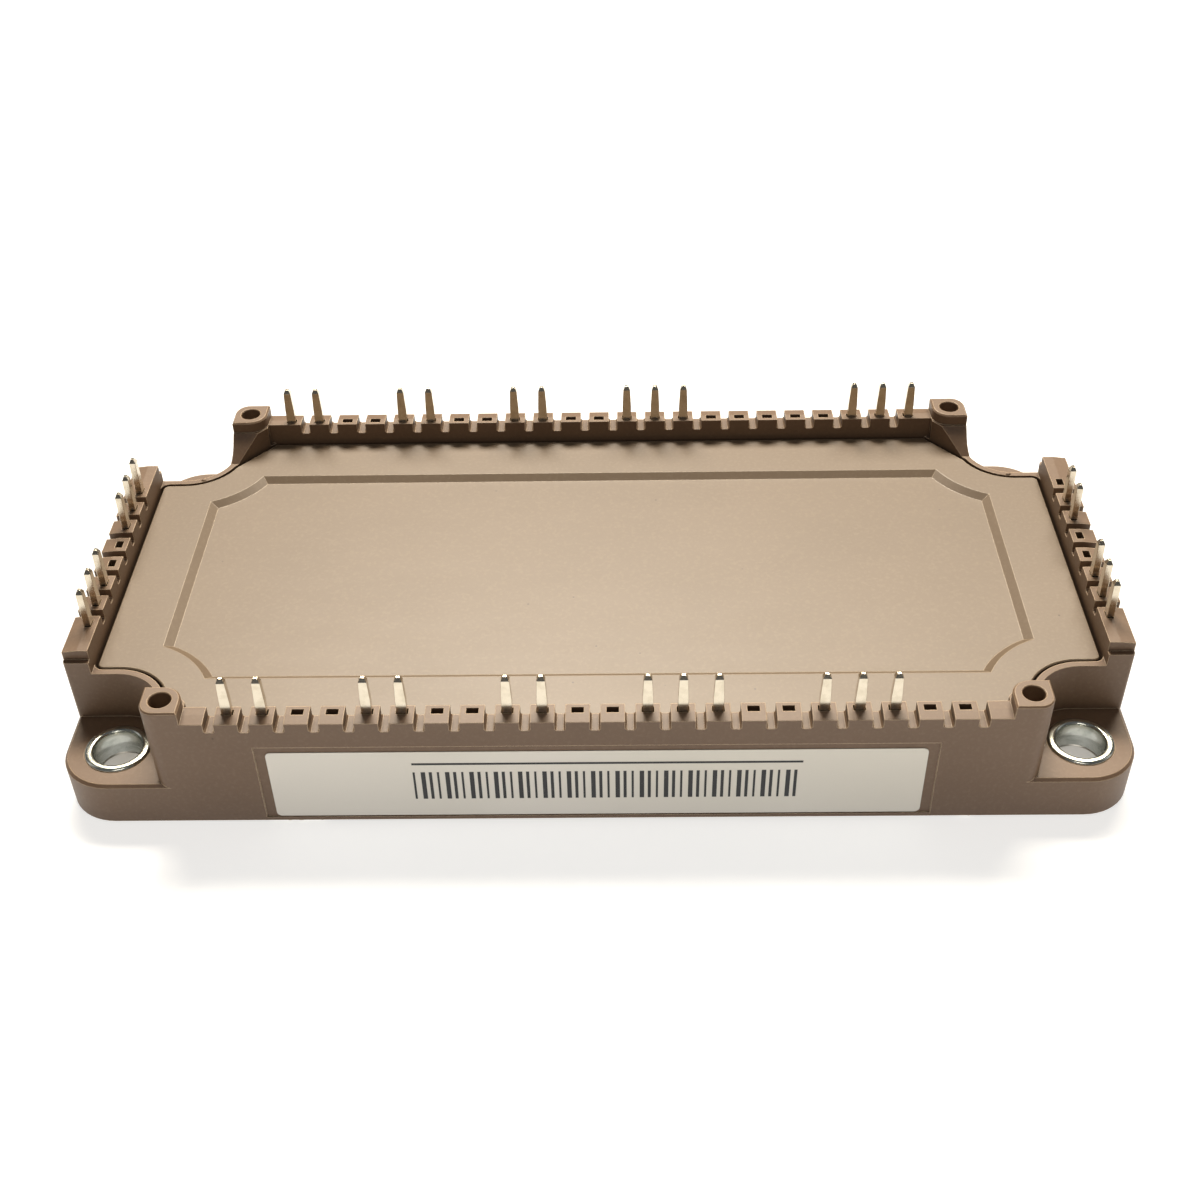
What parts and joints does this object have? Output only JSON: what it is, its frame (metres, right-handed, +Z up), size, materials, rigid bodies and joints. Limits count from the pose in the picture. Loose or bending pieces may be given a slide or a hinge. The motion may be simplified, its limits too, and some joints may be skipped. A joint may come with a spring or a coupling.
{
  "type": "igbt power module",
  "caption": "Flat rectangular power transistor module: tan moulded frame and lid on a metal base plate, mounting ears with steel bushings, and blade terminals standing along all sides.",
  "frame": {"origin": "middle of the base plate's underside", "axes": "+X along the long side to the right, +Y from the labelled front wall to the back, +Z up out of the lid towards the terminal tips"},
  "size_m": [0.122, 0.062, 0.0205],
  "materials": {
    "case_plastic": "tan moulded thermoplastic, fine matte texture",
    "lid_plastic": "tan moulded thermoplastic, slightly lighter, fine matte texture",
    "plated_copper": "nickel-plated copper, satin",
    "label_film": "silver-white printed film",
    "bushing_steel": "zinc-plated turned steel",
    "tinned_terminal": "tin-plated copper alloy, satin",
    "silicone_adhesive": "cured silicone",
    "silicone_gel": "clear soft gel",
    "ceramic": "white alumina",
    "bare_copper": "bare copper foil",
    "solder": "soft solder",
    "silicon": "metallised silicon chip",
    "thermistor_body": "dark ceramic chip",
    "bond_aluminium": "bright bond ribbon"
  },
  "bodies": {
    "root": {"adhesive_bead": "silicone_adhesive", "base_plate": "plated_copper", "bond_ribbons": "bond_aluminium", "bushing_back_left": "bushing_steel", "bushing_back_right": "bushing_steel", "bushing_front_left": "bushing_steel", "bushing_front_right": "bushing_steel", "case": "case_plastic", "ceramic_substrates": "ceramic", "circuit_copper": "bare_copper", "freewheel_diodes": "silicon", "igbt_chips": "silicon", "label": "label_film", "lid": "lid_plastic", "pin_back_01": "tinned_terminal", "pin_back_02": "tinned_terminal", "pin_back_05": "tinned_terminal", "pin_back_06": "tinned_terminal", "pin_back_09": "tinned_terminal", "pin_back_10": "tinned_terminal", "pin_back_13": "tinned_terminal", "pin_back_14": "tinned_terminal", "pin_back_15": "tinned_terminal", "pin_back_21": "tinned_terminal", "pin_back_22": "tinned_terminal", "pin_back_23": "tinned_terminal", "pin_front_01": "tinned_terminal", "pin_front_02": "tinned_terminal", "pin_front_05": "tinned_terminal", "pin_front_06": "tinned_terminal", "pin_front_09": "tinned_terminal", "pin_front_10": "tinned_terminal", "pin_front_13": "tinned_terminal", "pin_front_14": "tinned_terminal", "pin_front_15": "tinned_terminal", "pin_front_18": "tinned_terminal", "pin_front_19": "tinned_terminal", "pin_front_20": "tinned_terminal", "pin_left_1": "tinned_terminal", "pin_left_2": "tinned_terminal", "pin_left_3": "tinned_terminal", "pin_left_6": "tinned_terminal", "pin_left_7": "tinned_terminal", "pin_left_8": "tinned_terminal", "pin_right_2": "tinned_terminal", "pin_right_3": "tinned_terminal", "pin_right_6": "tinned_terminal", "pin_right_7": "tinned_terminal", "pin_right_8": "tinned_terminal", "rectifier_diodes": "silicon", "silicone_gel": "silicone_gel", "substrate_solder": "solder", "substrate_under_copper": "bare_copper", "thermistor": "thermistor_body"}
  },
  "joints": []
}
